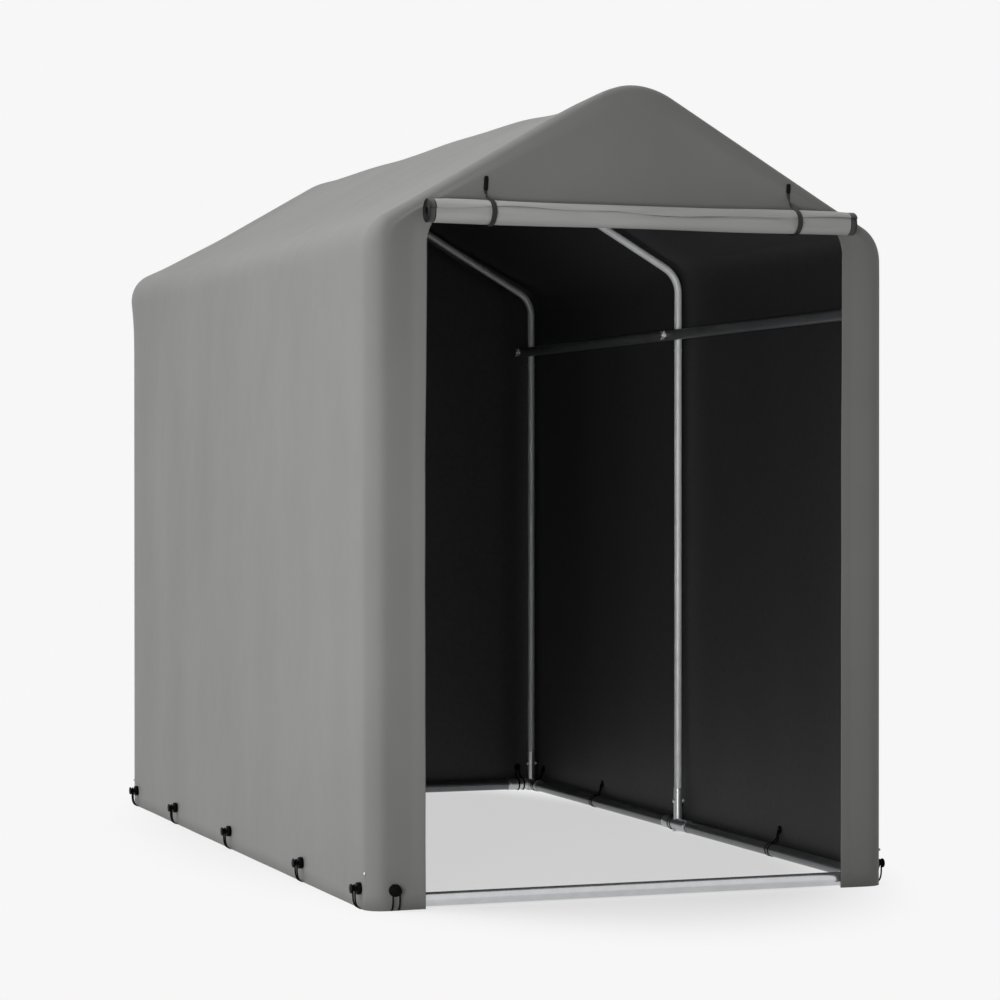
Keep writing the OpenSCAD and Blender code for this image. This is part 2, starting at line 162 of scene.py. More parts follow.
def darkMaterial(name, light, dark, roughness, scale, depthOfBump, values=None):
    # a near-black surface with a fine grain of the given scale
    material, tree, shader, place = newMaterial(name, {"Roughness": roughness, **(values or {})})
    grain = addNode(tree, "ShaderNodeTexNoise", values={
        "Scale": scale, "Detail": 2.0}, links={"Vector": place})
    tree.links.new(colourSteps(tree, grain.outputs["Fac"], [(0.35, dark), (0.65, light)]),
                   shader.inputs["Base Color"])
    bump = addNode(tree, "ShaderNodeBump", values={
        "Strength": 0.2, "Distance": depthOfBump}, links={"Height": grain.outputs["Fac"]})
    tree.links.new(bump.outputs["Normal"], shader.inputs["Normal"])
    return material


coverCloth = coatedPolyester("coatedPolyesterGrey", "#81817f", "#7b7b79")
# the coated inner face: black, a little smoother than the outside
liningCloth = darkMaterial("coatedPolyesterBlack", "#343434", "#2e2e2e", 0.6, 60.0, 0.0006)
# bound edge of the cloth, folded tape
bindingTape = darkMaterial("bindingTapeBlack", "#181818", "#0e0e0e", 0.7, 500.0, 0.0004,
                           {"Specular IOR Level": 0.15})
# the tubes, the sill and the rails are one galvanised steel in copies of different tone: the tubes
# and the sill are paler, which paints light on them, and the rails are darker, which paints shade
# on them; the fittings have their own finish
tubeSteelPaintedLight = galvanisedSteel("galvanisedSteelTubePaintedLight", "#f4f5f6", "#eceded", 0.48, 0.15)
fittingSteel = galvanisedSteel("galvanisedSteelFitting", "#cccdce", "#c3c5c7", 0.30, 0.7)
railSteelPaintedShade = galvanisedSteel("galvanisedSteelRailPaintedShade", "#828486", "#7a7c7e", 0.33, 0.5)
sillSteelPaintedLight = galvanisedSteel("galvanisedSteelSillPaintedLight", "#d4d6d8", "#ced0d1", 0.24, 0.8)
# bright zinc plating on cast wing nuts and bolts: paler and smoother than dipped zinc
zincPlate = galvanisedSteel("zincPlatedSteel", "#f6f7f8", "#eceeef", 0.22, 0.25)
# moulded black polypropylene: slightly glossy, with a fine moulded grain
buttonPlastic = darkMaterial("mouldedPolypropyleneBlack", "#060606", "#030303", 0.45, 900.0,
                             0.0002, {"Specular IOR Level": 0.05})
# braided sleeve over a rubber core: matt, with a fine braid
elasticCord = darkMaterial("braidedElasticCordBlack", "#101010", "#060606", 0.8, 700.0, 0.0006,
                           {"Specular IOR Level": 0.05})
# woven polypropylene webbing: dark grey with a slight gloss on the ribs
webbing = darkMaterial("wovenWebbingBlack", "#242423", "#121212", 0.5, 450.0, 0.0006,
                       {"Specular IOR Level": 0.3})
# the same webbing doubled and sewn flat: black and matt
sewnWebbing = darkMaterial("sewnWebbingBlack", "#151515", "#0b0b0b", 0.8, 450.0, 0.0006,
                           {"Specular IOR Level": 0.1})
print("materials made")


# mesh makers

def patches(name, grids, materials, closedU=False, closedV=False):
    # surfaces through grids of points, all of one size and in one mesh, so grids has the
    # shape (k, u, v, 3): quad (i, j) of a grid joins its points i, i+1 and j, j+1
    grids = np.asarray(grids)
    count, rows, columns = grids.shape[:3]
    i = np.arange(rows if closedU else rows - 1)
    j = np.arange(columns if closedV else columns - 1)
    k, i, j = [index.ravel() for index in np.meshgrid(np.arange(count), i, j, indexing="ij")]
    iNext, jNext = (i + 1) % rows, (j + 1) % columns
    start = k * rows * columns
    faces = np.stack([start + i * columns + j, start + iNext * columns + j,
                      start + iNext * columns + jNext, start + i * columns + jNext], 1)
    mesh = bpy.data.meshes.new(name)
    mesh.from_pydata(grids.reshape(-1, 3).tolist(), [], faces.tolist())
    return finishObject(name, mesh, materials)


def gridObject(name, grid, materials, uv):
    # one grid's surface, with a UV map that follows it
    thing = patches(name, grid[None], materials)
    mesh = thing.data
    layer = mesh.uv_layers.new(name="surface")
    loops = np.empty(len(mesh.loops), int)
    mesh.loops.foreach_get("vertex_index", loops)
    layer.data.foreach_set("uv", uv.reshape(-1, 2)[loops].astype(np.float32).ravel())
    return thing


def finishObject(name, mesh, materials, smooth=True):
    mesh.polygons.foreach_set("use_smooth", np.full(len(mesh.polygons), smooth))
    for material in materials:
        mesh.materials.append(material)
    mesh.update()
    thing = bpy.data.objects.new(name, mesh)
    bpy.context.scene.collection.objects.link(thing)
    return thing


def lathe(profile, count=32):
    # (radius, height) pairs in millimetres, turned round the height axis: point = (height,
    # r cos a, r sin a)
    angle = np.linspace(0, 2 * math.pi, count, endpoint=False)
    radius, height = np.array(profile).T / 1000
    return np.stack([np.broadcast_to(height, (count, len(height))),
                     np.outer(np.cos(angle), radius), np.outer(np.sin(angle), radius)], -1)


def carried(path, side, profile, widthScale=None, thickScale=None):
    # a closed profile carried along a path: each point is the path's, plus the profile's
    # first number along the side direction and its second along tangent cross side. The
    # rings run against the profile, so that the faces look outwards.
    tangent = np.gradient(path, axis=0)
    tangent /= np.linalg.norm(tangent, axis=1, keepdims=True)
    side = side - tangent * np.sum(side * tangent, 1, keepdims=True)
    side /= np.linalg.norm(side, axis=1, keepdims=True)
    up = np.cross(tangent, side)
    one = np.ones(len(path))
    wide = (one if widthScale is None else widthScale)[:, None] * profile[:, 0]
    thick = (one if thickScale is None else thickScale)[:, None] * profile[:, 1]
    rings = path[:, None] + wide[..., None] * side[:, None] + thick[..., None] * up[:, None]
    return rings[:, ::-1]


def roundedBar(width, thick, count=16):
    # a flat bar's outline with rounded edges: a superellipse of power 4
    angle = np.linspace(0, 2 * math.pi, count, endpoint=False)
    c, s = np.cos(angle), np.sin(angle)
    return np.stack([np.sign(c) * np.abs(c) ** 0.5 * width / 2,
                     np.sign(s) * np.abs(s) ** 0.5 * thick / 2], 1)


def closedEnds(grid):
    # adds a collapsed ring at each end of a carried profile, so that the ends are closed
    first = np.repeat(grid[:1].mean(1, keepdims=True), grid.shape[1], 1)
    last = np.repeat(grid[-1:].mean(1, keepdims=True), grid.shape[1], 1)
    return np.concatenate([first, grid, last])


def smoothPath(points, count, rounds=3):
    # corner-cut polyline: each round puts points at 1/4 and 3/4 of every leg, ends kept,
    # and the result is read off at equal steps of its length
    points = np.asarray(points, float)
    for _ in range(rounds):
        cut = np.stack([points[:-1] * 0.75 + points[1:] * 0.25,
                        points[:-1] * 0.25 + points[1:] * 0.75], 1).reshape(-1, points.shape[1])
        points = np.concatenate([points[:1], cut, points[-1:]])
    step = np.linalg.norm(np.diff(points[:, :3], axis=0), axis=1)
    length = np.concatenate([[0], np.cumsum(step)])
    at = np.linspace(0, length[-1], count)
    return np.stack([np.interp(at, length, points[:, k]) for k in range(points.shape[1])], 1)


def merged(thing):
    # welds points that lie within 0.05 mm, so that seams and poles are closed
    weld = thing.modifiers.new("weld", "WELD")
    weld.merge_threshold = 0.00005
    return thing


def thickened(thing, thickness):
    # cloth given its thickness inwards: its inner face takes the second material, and its
    # edges the third
    wall = thing.modifiers.new("thickness", "SOLIDIFY")
    wall.thickness = thickness
    wall.offset = -1
    wall.material_offset = 1
    wall.material_offset_rim = 2


def waves(a, b, seed, count, length, direction, spread):
    # soft folds: the mean of sine waves with seeded lengths, directions and offsets
    random = np.random.default_rng(seed)
    total = np.zeros(np.broadcast(a, b).shape)
    for _ in range(count):
        angle = direction + random.uniform(-spread, spread)
        k = 2 * math.pi / (length * random.uniform(0.7, 1.5))
        total = total + np.sin(k * (a * math.cos(angle) + b * math.sin(angle))
                               + random.uniform(0, 2 * math.pi))
    return total / count


def easeStep(value, low, high):
    # smooth 0 to 1 between low and high
    t = np.clip((value - low) / (high - low), 0, 1)
    return t * t * (3 - 2 * t)


# cover

cover = {
    "pitch": math.radians(30.2),
    "eaveRadius": 0.100,
    "ridgeRadius": 0.215,
    "edgeRadius": 0.045,    # of the bend beside the walls
    "slopeEdge": 0.028,     # and of the tighter bend along the roof slopes
    "edgeBlend": 0.14,      # length above the wall over which one becomes the other
    "frontDrop": 0.0045,    # how far the slopes sink towards the front edge
    "doorCorner": 0.100,
    "doorTop": 1.700,
    "doorBow": 0.0012,      # how far the doorway's edges bow apart at half height
    "doorLean": 0.0055,     # how far both edges lean to the right near the top
    "doorLeanFrom": 0.6,    # share of the height at which that lean starts
    "thickness": 0.0015,
    "roofSag": 0.004,       # how far the roof cloth sinks between two arches
    # how far the ridge hangs below a straight line, at distances from the front face
    "ridgeAt": [0.0, 0.1, 0.2, 0.3, 0.42, 0.63, 0.9, 1.25, 1.65, 1.93, 2.2, 2.5],
    "ridgeDrop": [0.0, 0.013, 0.024, 0.029, 0.025, 0.013, 0.012, 0.0097, 0.013, 0.006, 0.003, 0],
    "peakDent": 0.023,      # depth of the hollow in the left slope just behind the peak
    "dentPlace": 0.090,     # its distance from the ridge, down the slope
    "dentWidth": 0.06,
    "dentOnArch": 0.28,     # share of its depth over the front arch, which holds the cloth up
    "dentBehindArch": (0.040, 0.068),   # from the front, where the rest of the depth comes in
    "eaveBulge": 0.011,     # fullness of the eaves at the back
    "hemDrop": 0.0028,      # how far the cloth hangs below the stand-in's hem
    "gableLean": 0.006,     # how far the gable leans in towards the roll
    "leanAbove": 0.16,      # how far above the roll, and below it, that lean spreads
    "leanBelow": 0.5,
    "wallFold": 0.0035,     # height of the soft upright folds in the walls
    "gableFold": 0.003,
    "foldEase": 0.08,       # distance from a face's edge over which its folds come in
    "hemBand": 0.022,       # width of the doubled cloth along the edges
    "hemStep": 0.0011,      # how far that band stands out
    "hemEase": 0.003,       # half the width of the step beside it
}


def houseOutline():
    # Half outline from the left hem to the ridge by distance along it: up the wall, round
    # the eave on a circle, straight up the slope, and round the ridge on a circle. The
    # right half mirrors it. Returns x, z, the outward normal and the distance from the hem.
    turn = math.pi / 2 - cover["pitch"]
    re, rr, p = cover["eaveRadius"], cover["ridgeRadius"], cover["pitch"]
    ridgeZ = ridgeTop - rr
    eaveEnd = np.array([-(halfWidth - re) - re * math.cos(turn), wallTop + re * math.sin(turn)])
    slopeEnd = np.array([-rr * math.sin(p), ridgeZ + rr * math.cos(p)])
    hem = hemZ - cover["hemDrop"]
    up = np.linspace(0, 1, 40)[:-1]
    a = np.linspace(0, turn, 13)[:-1]
    along = np.linspace(0, 1, 30)[:-1]
    b = np.linspace(p, 0, 12)
    x = np.concatenate([-halfWidth + 0 * up, -(halfWidth - re) - re * np.cos(a),
                        eaveEnd[0] + along * (slopeEnd - eaveEnd)[0], -rr * np.sin(b)])
    z = np.concatenate([hem + up * (wallTop - hem), wallTop + re * np.sin(a),
                        eaveEnd[1] + along * (slopeEnd - eaveEnd)[1], ridgeZ + rr * np.cos(b)])
    nx = np.concatenate([-1 + 0 * up, -np.cos(a), -math.sin(p) + 0 * along, -np.sin(b)])
    nz = np.concatenate([0 * up, np.sin(a), math.cos(p) + 0 * along, np.cos(b)])
    x, z = np.concatenate([x, -x[-2::-1]]), np.concatenate([z, z[-2::-1]])
    nx, nz = np.concatenate([nx, -nx[-2::-1]]), np.concatenate([nz, nz[-2::-1]])
    s = np.concatenate([[0], np.cumsum(np.hypot(np.diff(x), np.diff(z)))])
    return x, z, nx, nz, s


def doorwayOutline(s):
    # For each point of the house outline, its partner on the doorway's edge: at its share
    # of the height beside the wall, and above that of the rounded corner and the top. The
    # upright edges bow apart on a sine and lean to the right near the top.
    r, top = cover["doorCorner"], cover["doorTop"]
    doorHalf = (doorRight - doorLeft) / 2
    half = s[-1] / 2
    hem = hemZ - cover["hemDrop"]
    wallLen = wallTop - hem
    near = np.minimum(s, s[-1] - s)
    side = np.minimum(near, wallLen) / wallLen
    share = np.clip((near - wallLen) / (half - wallLen), 0, 1)
    run = share * (r * math.pi / 2 + doorHalf - r)
    a = np.clip(run / r, 0, math.pi / 2)
    past = np.maximum(run - r * math.pi / 2, 0)
    dx = -(doorHalf - r) - r * np.cos(a) + past - cover["doorBow"] * (
        np.sin(math.pi * side * 0.97) - 0.4)
    dz = np.where(near < wallLen, hem + side * (top - r - hem), top - r + r * np.sin(a))
    middle = (doorLeft + doorRight) / 2 \
        + cover["doorLean"] * easeStep(side, cover["doorLeanFrom"], 1.0)
    return middle + np.where(s > half, -dx, dx), dz


def frontPush(x, z):
    # how far the front face stands out: soft folds, less a lean that is deepest by the roll
    spread = np.where(z > rollMid[2], cover["leanAbove"], cover["leanBelow"])
    lean = np.exp(-((z - rollMid[2]) / spread) ** 2)
    return waves(x, z, 21, 7, 0.34, 0.5, 1.2) * cover["gableFold"] - cover["gableFold"] \
        - cover["gableLean"] * lean


def gableFaceY(x, z):
    # y of the gable's face at x and z: pushed as above inside the straight slope of the
    # edge's bend, and beyond that slope round the bend's circle
    r, p = cover["slopeEdge"], cover["pitch"]
    peak = ridgeTop + cover["ridgeRadius"] * (1 / math.cos(p) - 1) - r / math.cos(p)
    inside = (peak - np.abs(x) * math.tan(p) - z) * math.cos(p)
    over = np.clip(-inside, 0, r * 0.95)
    return frontY - frontPush(x, z) * easeStep(inside, 0, cover["foldEase"]) \
        + r - np.sqrt(r ** 2 - over ** 2)


def makeCover():
    # Rows run along the house outline. Columns run from the doorway's edge straight over the
    # front face, round the front edge on a quarter circle, back along the depth, round the
    # back edge on another, and straight in to the middle line of the back wall.
    x, z, nx, nz, s = houseOutline()
    dx, dz = doorwayOutline(s)
    near = np.minimum(s, s[-1] - s)     # distance from the nearer hem
    wallLen = wallTop - hemZ
    r = cover["edgeRadius"] + (cover["slopeEdge"] - cover["edgeRadius"]) * easeStep(
        near - wallLen, 0.0, cover["edgeBlend"])
    ix, iz = x - r * nx, z - r * nz     # outline of the flat front and back faces
    share = np.clip((near - wallLen) / (s[-1] / 2 - wallLen), 0, 1)
    mz = np.where(near < wallLen, iz, wallTop + (iz.max() - wallTop) * share)
    y0, y1 = frontY + r, backY - r

    def block(bx, by, bz):
        return np.stack(np.broadcast_arrays(bx, by, bz), -1)

    def column(values):
        return values[:, None]

    def edge(angles, y, sign):
        push = column(r) * (1 - np.sin(angles))
        return block(column(x) - column(nx) * push, column(y) + sign * column(r) * np.cos(angles),
                     column(z) - column(nz) * push)

    face = np.concatenate([[0, 0.03, 0.12, 0.2], np.linspace(0.3, 1, 10)])[:-1]
    bend = np.linspace(0, math.pi / 2, 9)
    run = np.linspace(0, 1, 104)[1:-1]
    back = np.linspace(0, 1, 26)[1:]
    blocks = [block(column(dx) + column(ix - dx) * face, frontY,
                    column(dz) + column(iz - dz) * face),
              edge(bend, y0, -1),
              block(column(x), column(y0) + column(y1 - y0) * run, column(z)),
              edge(math.pi / 2 - bend, y1, 1),
              block(column(ix) * (1 - back), backY, column(iz) + column(mz - iz) * back)]
    grid = np.concatenate(blocks, 1)
    px, y, pz = [grid[..., k] for k in range(3)]
    ends = np.cumsum([part.shape[1] for part in blocks])

    # outward direction of every point, from the outline's normal and the face it is on
    outward = np.zeros_like(grid)
    outward[:, :ends[0], 1] = -1
    outward[:, ends[3]:, 1] = 1
    side = np.stack([nx, 0 * nx, nz], -1)[:, None]
    front = np.array([0, -1.0, 0])
    outward[:, ends[0]:ends[1]] = side * np.sin(bend)[:, None] + front * np.cos(bend)[:, None]
    outward[:, ends[1]:ends[2]] = side
    outward[:, ends[2]:ends[3]] = side * np.cos(bend)[:, None] - front * np.sin(bend)[:, None]

    # the roof sinks between the arches and hangs along the ridge, has a hollow by the peak,
    # and is full at the back of the eaves
    near = column(near) + 0 * px
    fromFront, fromBack = y - frontY, backY - y
    onRoof = easeStep(near, wallLen - 0.05, wallLen + 0.25)
    between = np.zeros_like(px)
    for low, high in zip(archYs[:-1], archYs[1:]):
        between = np.maximum(between, np.where((y > low) & (y < high),
                                               np.sin(math.pi * (y - low) / (high - low)) ** 2, 0))
    ridgeNear = 1 - easeStep(s[-1] / 2 - near, 0.0, 0.35)
    dip = sum(np.interp(fromFront + step, cover["ridgeAt"], cover["ridgeDrop"])
              for step in (-0.05, -0.025, 0, 0.025, 0.05)) / 5
    dip = dip * easeStep(fromFront, 0.02, 0.09)
    atBack = 1 - easeStep(fromBack, 0.05, 0.7)
    onSlope = easeStep(near, wallLen + 0.20, wallLen + 0.40)
    sink = onRoof * cover["roofSag"] * (between * (1 - ridgeNear) + 1.5 * atBack * onSlope) \
        + ridgeNear * dip
    sink = sink + cover["frontDrop"] * onRoof * (1 - easeStep(fromFront, 0.04, 0.20))
    fromDent = (s[-1] / 2 - column(s) - cover["dentPlace"]) / cover["dentWidth"]
    onArch = cover["dentOnArch"]
    hollow = np.exp(-fromDent ** 2) * (
        onArch * easeStep(fromFront, 0, 0.03)
        + (1 - onArch) * easeStep(fromFront, *cover["dentBehindArch"]))
    sink = sink + cover["peakDent"] * hollow * (1 - easeStep(fromFront, 0.15, 0.35))
    full = np.exp(-((near - wallLen - 0.06) / 0.09) ** 2)
    sink = sink - cover["eaveBulge"] * atBack * full

    # upright folds in the walls and fainter ones in the roof, none at the ends of the depth
    # and few at the hem, which is held down straight
    onWall = 1 - easeStep(near, wallLen - 0.30, wallLen)
    alongDepth = easeStep(fromFront, 0.03, 0.20) * easeStep(fromBack, 0.03, 0.20)
    folds = waves(y, 0.15 * near, 11, 7, 0.42, 0.0, 0.15) * onWall * cover["wallFold"]
    folds += waves(y, near, 5, 8, 0.5, 0.9, 0.9) * onRoof * 0.6 * cover["wallFold"]
    settle = easeStep(near, 0.0, 0.25)
    move = -sink + (folds - cover["wallFold"]) * alongDepth * (0.25 + 0.75 * settle)

    # the front and back faces have their own folds, and the doorway and the front hem a band
    place = np.arange(px.shape[1])
    onFront, onBack = place < ends[0], place >= ends[3]
    comeIn = easeStep(np.hypot(px - column(ix), pz - column(iz)), 0, cover["foldEase"])
    move = np.where(onFront, frontPush(px, pz) * comeIn, move)
    backFold = (waves(px, 0.2 * pz, 31, 8, 0.5, 0.1, 0.3) - 1) * cover["wallFold"] * 1.3
    move = np.where(onBack, backFold * comeIn, move)
    edgeOff = np.minimum(np.hypot(px - column(dx), pz - column(dz)), near)
    band = 1 - easeStep(edgeOff, cover["hemBand"] - cover["hemEase"],
                        cover["hemBand"] + cover["hemEase"])
    move = move + band * cover["hemStep"] * onFront
    grid = grid + outward * move[..., None]
    grid[..., 1] = np.clip(grid[..., 1], frontY - 0.002, backY + 0.002)

    v = np.concatenate([[0], np.cumsum(np.linalg.norm(np.diff(grid, axis=1), axis=2).mean(0))])
    uv = np.stack(np.broadcast_arrays(column(s), v[None]), -1)
    thing = gridObject("clothCover", grid, [coverCloth, liningCloth, bindingTape], uv)
    merged(thing)
    thickened(thing, cover["thickness"])
    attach(thing, "root")
    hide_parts("left_wall", "right_wall", "back_wall", "left_roof", "right_roof",
                "front_gable", "left_door_flap", "right_door_flap")


makeCover()
print("cover made")


# rolled door

roll = {
    "core": 0.011,          # radius of the hollow in the middle
    "turns": 8.38,
    "outer": 0.0012,        # how far the last turn lies outside the stand-in
    "thickness": 0.0012,
    "lip": 0.0022,          # how far the sheet's free edge stands off
    "edgeWave": 0.14,       # how far that edge wanders round the roll, in radians
    "ripple": 0.0023,
    "crease": 0.0065,       # depth of the long crease
    "creaseAt": 3.05,       # its place round the roll and its width, in radians
    "creaseWidth": 0.40,
    "binding": 0.017,       # width of the bound side edges
}


def makeRoll():
    # A sheet rolled into a spiral: the radius grows evenly with the angle from the core to
    # the outside. Three waves round the roll and one long crease under the free edge, which
    # wanders on three sines, are added and grow with the square of the way out. The free
    # edge stands off and wanders on two sines.
    angle = np.linspace(0, 2 * math.pi * roll["turns"], int(36 * roll["turns"]))[:, None]
    halfLen = (rollHigh[0] - rollLow[0]) / 2
    ends = halfLen - np.array([0, 0.002, 0.006, 0.0165, 0.0175, 0.0185])
    x = np.concatenate([-ends, np.linspace(-halfLen + 0.03, halfLen - 0.03, 60), ends[::-1]])
    x = x[None]
    share = angle / angle.max()
    outer = rollRadius + roll["outer"]
    phase = angle + math.pi * 0.15 + share ** 4 * roll["edgeWave"] * (
        np.sin(8.3 * x + 1.0) + 0.5 * np.sin(21 * x))
    radius = roll["core"] + (outer - roll["core"]) * share \
        + roll["lip"] * easeStep(share, 0.985, 1.0)
    wander = 0.25 * np.sin(5.1 * x + 0.6) + 0.2 * np.sin(11 * x) + 0.14 * np.sin(23 * x)
    place = np.mod(phase + wander, 2 * math.pi)
    crease = np.exp(-((place - roll["creaseAt"]) / roll["creaseWidth"]) ** 2)
    ripple = np.sin(3 * phase + 4.3 * x) * 0.4 + np.sin(2 * phase - 7.0 * x + 1.0) * 0.35 \
        + np.sin(5 * phase + 13.0 * x) * 0.25
    inner = 1 - easeStep(np.abs(x), halfLen - 0.05, halfLen - 0.015)
    radius = radius + share ** 2 * (roll["ripple"] * ripple * inner
                                    - roll["crease"] * crease * (0.3 + 0.7 * inner))
    # phase 0 is at the back, a quarter turn at the top, half a turn at the front
    y = rollMid[1] + radius * np.cos(phase)
    z = rollMid[2] + radius * np.sin(phase)
    grid = np.stack(np.broadcast_arrays(rollMid[0] + x + 0 * angle, y, z), -1)
    uv = np.stack(np.broadcast_arrays(x + 0 * angle, share + 0 * x), -1)
    thing = gridObject("rolledDoorCloth", grid, [paintedLightDoorCloth, bindingTape, bindingTape], uv)
    thickened(thing, roll["thickness"])
    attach(thing, "root")
    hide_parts("rolled_door")


def paintedLightDoorMaterial():
    # the same coated polyester in a paler copy, whose lighter colour paints the light on the roll;
    # bound along both side edges with tape, which is drawn as a grey band between darker lines at
    # its edges
    material = coatedPolyester("coatedPolyesterDoorPaintedLight", "#b4b4b2", "#a8a8a6", 0.1)
    tree = material.node_tree
    shader = tree.nodes["Principled BSDF"]
    cloth = shader.inputs["Base Color"].links[0].from_socket
    where = addNode(tree, "ShaderNodeSeparateXYZ",
                    links={"Vector": addNode(tree, "ShaderNodeTexCoord").outputs["UV"]})
    across = addNode(tree, "ShaderNodeMath", {"operation": "ABSOLUTE"},
                     links={0: where.outputs["X"]})
    edge = (rollHigh[0] - rollLow[0]) / 2 - roll["binding"]
    bound = addNode(tree, "ShaderNodeMath", {"operation": "GREATER_THAN"}, {1: edge},
                    {0: across.outputs[0]})
    band = addNode(tree, "ShaderNodeMapRange", values={
        "From Min": edge, "From Max": edge + roll["binding"]}, links={"Value": across.outputs[0]})
    tape = colourSteps(tree, band.outputs["Result"], [
        (0.0, "#0e0e0e"), (0.12, "#0e0e0e"), (0.22, "#474746"), (0.72, "#393938"),
        (0.85, "#0c0c0c")])
    mix = addNode(tree, "ShaderNodeMix", {"data_type": "RGBA"}, None,
                  {"Factor": bound.outputs[0], "A": cloth, "B": tape})
    tree.links.new(mix.outputs["Result"], shader.inputs["Base Color"])
    return material


# the roll's cloth: a paler copy of the cover's, with painted light
paintedLightDoorCloth = paintedLightDoorMaterial()
makeRoll()
print("rolled door made")


# straps round the roll

strap = {
    "width": 0.013,
    "thickness": 0.0016,
    "standInHalf": 0.007,   # half the width of the stand-in's straps
    "offRoll": 0.0030,      # how far the wrap stands off the roll
    "offCloth": 0.0015,     # how far a strap's middle, and a tab's, lies off the gable
    "tabOffCloth": 0.002,
    "tabSection": (0.011, 0.004),
    # x of the sewn tabs and of the wraps, beside the middles of the straps' stand-ins
    "tabAt": [-0.0085, 0.007],
    "wrapAt": [-0.0118, 0.0083],
    "tops": [1.7665, 1.774],
    "tabs": [0.036, 0.024],     # heights of the tabs
}


def makeStraps():
    # Each strap: a doubled tab down the gable, a narrow half-twisted run, then once round
    # the roll. The side direction turns half a turn along the run, which the fourth number
    # of its path counts from 0 to 1.
    low, high = corners("door_straps")
    middles = np.array([low[0] + strap["standInHalf"], high[0] - strap["standInHalf"]])
    ring = rollRadius + strap["thickness"] * 0.5 + strap["offRoll"]
    turn = np.radians(np.linspace(20, 318, 40))
    straps, tabs = [], []
    for x0, x1, top, tab in zip(middles + strap["tabAt"], middles + strap["wrapAt"],
                                strap["tops"], strap["tabs"]):
        wrap = np.stack([x1 + 0.003 * np.sin(turn), rollMid[1] - ring * np.sin(turn),
                         rollMid[2] + ring * np.cos(turn), 1 + 0 * turn], 1)
        end = np.array([x1 - 0.003, rollMid[1] - ring * 0.1, rollMid[2] + ring * 1.04])
        start = np.array([x0, gableFaceY(x0, top - tab) - strap["offCloth"], top - tab + 0.006])
        lead = np.array([[x0, gableFaceY(x0, top) - strap["offCloth"], top - 0.003, 0],
                         [*start, 0],
                         [*(start + (end - start) * [0.15, 0.05, 0.35]), 0.1],
                         [*(start + (end - start) * [0.55, 0.3, 0.72]), 0.5], [*end, 0.95]])
        path = smoothPath(np.concatenate([lead, wrap]), 120)
        twist = path[:, 3] * math.pi
        side = np.stack([np.cos(twist), np.sin(twist) * 0.9, 0.25 * np.sin(twist)], 1)
        width = np.interp(path[:, 3], [0, 0.1, 0.5, 0.9, 1], [0.75, 0.7, 0.42, 0.8, 1])
        section = roundedBar(strap["width"], strap["thickness"])
        straps.append(closedEnds(carried(path[:, :3], side, section, width)))
        z = np.linspace(top, top - tab, 24)
        path = np.stack([x0 + 0 * z, gableFaceY(x0, z) - strap["tabOffCloth"], z], 1)
        width = np.sqrt(np.clip(1 - (np.linspace(-1, 1, 24) * 0.96) ** 8, 0.02, 1))
        section = roundedBar(*strap["tabSection"])
        tabs.append(closedEnds(carried(path, np.tile([1.0, 0, 0], (24, 1)), section, width,
                                       width)))
    thing = patches("doorStraps", straps, [webbing], closedV=True)
    ends = patches("doorStrapTabs", tabs, [sewnWebbing], closedV=True)
    for piece in (thing, ends):
        merged(piece)
        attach(piece, "root")
        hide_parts("door_straps")


makeStraps()
print("straps made")


# ties

tie = {
    "buttonHeight": 0.050,
    "cord": 0.0042,
    "flat": 0.0013,         # thickness of the cord where it is pressed under the rail
    "neck": 0.0065,         # radius of the button's neck, which the cord goes round
    "neckOut": 0.0166,      # how far from the cloth the cord goes round it
    "eyeletHeight": 0.074,
    "span": 0.022,          # width of the pair of strands, as in the stand-in
    "besideArch": 0.0285,   # distance of the middle ties from the middle arch
    # places of the second and fourth tie of each wall, as shares of the depth
    "shares": {-1: [0.224, 0.761], 1: [0.244, 0.759]},
}


def tiePlaces():
    # (origin on the cover's face, outward direction, along direction, distance in to the
    # rail's middle, radius that is held) for the ties of each group, read from the CAD's
    # loops; mirrored directions keep z up
    half = tie["span"] / 2
    inner = corners("middle_left_fitting")
    reach = (inner[1][1] - inner[0][1]) / 2 + half
    low, high = corners("right_tie_loops")
    walls = {}
    for sign in (-1, 1):
        second, fourth = [frontY + share * depth for share in tie["shares"][sign]]
        walls[sign] = []
        for y in (low[1] + half, second, archYs[1] + tie["besideArch"], fourth, high[1] - half):
            held = sleeveRadius if min(abs(y - arch) for arch in archYs) < reach else railRadius
            walls[sign].append(((sign * halfWidth, y, 0), (sign, 0, 0), (0, 1, 0),
                                halfWidth - archX, held))
    low, high = corners("back_tie_loops")
    back = [((x, backY, 0), (0, 1, 0), (1, 0, 0), backY - archYs[2],
             sleeveRadius if x else railRadius) for x in (low[0] + half, 0, high[0] - half)]
    flap = ((low[0] + half, frontY, 0), (0, -1, 0), (1, 0, 0), archYs[0] - frontY, sleeveRadius)
    return {"left": walls[-1] + [flap], "right": walls[1], "back": back}


def placed(grid, place):
    # local (out, along, up) numbers turned into the frame's x, y, z at a tie's place
    origin, out, along = [np.array(part, float) for part in place[:3]]
    return origin + grid[..., :1] * out + grid[..., 1:2] * along + grid[..., 2:] * [0, 0, 1.0]


def mirrors(place):
    # whether a tie's place mirrors what is put there, which turns its faces inwards
    out, along = place[1:3]
    return out[0] * along[1] - out[1] * along[0] < 0


def onCloth(shape, height, group):
    # a lathed shape at a height on every tie's place, its rows reversed where that mirrors
    grids = [placed(shape + [0, 0, height], place) for place in group]
    return [grid[::-1] if mirrors(place) else grid for grid, place in zip(grids, group)]


